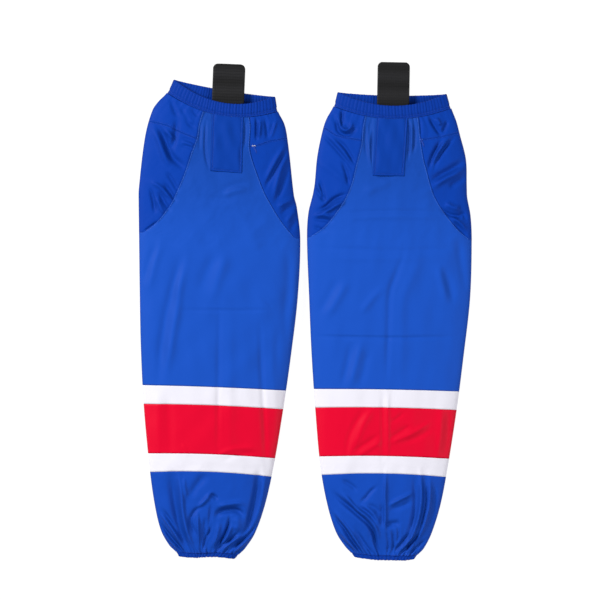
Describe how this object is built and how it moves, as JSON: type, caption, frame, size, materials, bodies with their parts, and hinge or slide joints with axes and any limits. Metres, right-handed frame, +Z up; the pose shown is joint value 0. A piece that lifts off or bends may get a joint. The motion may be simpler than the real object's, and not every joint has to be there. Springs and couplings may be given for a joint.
{
  "type": "hockey socks",
  "caption": "Footless knit leg sleeves for ice hockey, laid flat: striped shin, gathered elastic hems, side gussets and a hook-and-loop strap at the thigh.",
  "frame": {"origin": "on the surface the socks lie on, under the middle of the pair's bounding box", "axes": "+X across the pair to the right sock, +Y from the ankle hems to the thigh hems, +Z up through the front faces"},
  "size_m": [0.5324, 0.7972, 0.0252],
  "materials": {
    "blue_knit": "matt polyester knit with a faint sheen",
    "stretch_knit": "smoother stretch knit, slightly darker",
    "white_knit": "matt polyester knit",
    "red_knit": "matt polyester knit",
    "webbing": "ribbed black webbing",
    "hook_tape": "black hook tape",
    "elastic": "woven elastic"
  },
  "bodies": {
    "left_leg_lower": {"left_shin_panel": "blue_knit", "left_upper_white_stripe": "white_knit", "left_red_stripe": "red_knit", "left_lower_white_stripe": "white_knit", "left_ankle_panel": "blue_knit", "left_cuff_casing": "blue_knit", "left_cuff_elastic": "elastic"},
    "left_leg_upper": {"left_thigh_panel": "blue_knit", "left_outer_gusset": "stretch_knit", "left_outer_yoke": "stretch_knit", "left_inner_gusset": "stretch_knit", "left_inner_yoke": "stretch_knit", "left_band_casing": "stretch_knit", "left_band_elastic": "elastic", "left_strap_anchor": "webbing", "left_strap_patch": "blue_knit"},
    "left_strap": {"left_strap_tab": "webbing", "left_hook_pad": "hook_tape"},
    "right_leg_lower": {"right_shin_panel": "blue_knit", "right_upper_white_stripe": "white_knit", "right_red_stripe": "red_knit", "right_lower_white_stripe": "white_knit", "right_ankle_panel": "blue_knit", "right_cuff_casing": "blue_knit", "right_cuff_elastic": "elastic"},
    "right_leg_upper": {"right_thigh_panel": "blue_knit", "right_outer_gusset": "stretch_knit", "right_outer_yoke": "stretch_knit", "right_inner_gusset": "stretch_knit", "right_inner_yoke": "stretch_knit", "right_band_casing": "stretch_knit", "right_band_elastic": "elastic", "right_strap_anchor": "webbing", "right_strap_patch": "blue_knit"},
    "right_strap": {"right_strap_tab": "webbing", "right_hook_pad": "hook_tape"}
  },
  "joints": [
    {"name": "left_fold", "type": "hinge", "parent": "left_leg_lower", "child": "left_leg_upper", "pos_m": [-0.14149, 0.00275, 0.0258], "axis": [0.9993, -0.0384, 0], "range_deg": [0, 175]},
    {"name": "left_strap_fold", "type": "hinge", "parent": "left_leg_upper", "child": "left_strap", "pos_m": [-0.12206, 0.33383, 0.0186], "axis": [0.9993, -0.0384, 0], "range_deg": [0, 165]},
    {"name": "pair_separate", "type": "slide", "parent": "left_leg_lower", "child": "right_leg_lower", "axis": [1, 0, 0], "range_m": [0, 0.3]},
    {"name": "right_fold", "type": "hinge", "parent": "right_leg_lower", "child": "right_leg_upper", "pos_m": [0.1332, -0.04178, 0.0258], "axis": [0.9998, -0.0175, 0], "range_deg": [0, 175]},
    {"name": "right_strap_fold", "type": "hinge", "parent": "right_leg_upper", "child": "right_strap", "pos_m": [0.14118, 0.32914, 0.0186], "axis": [0.9998, -0.0175, 0], "range_deg": [0, 165]}
  ]
}
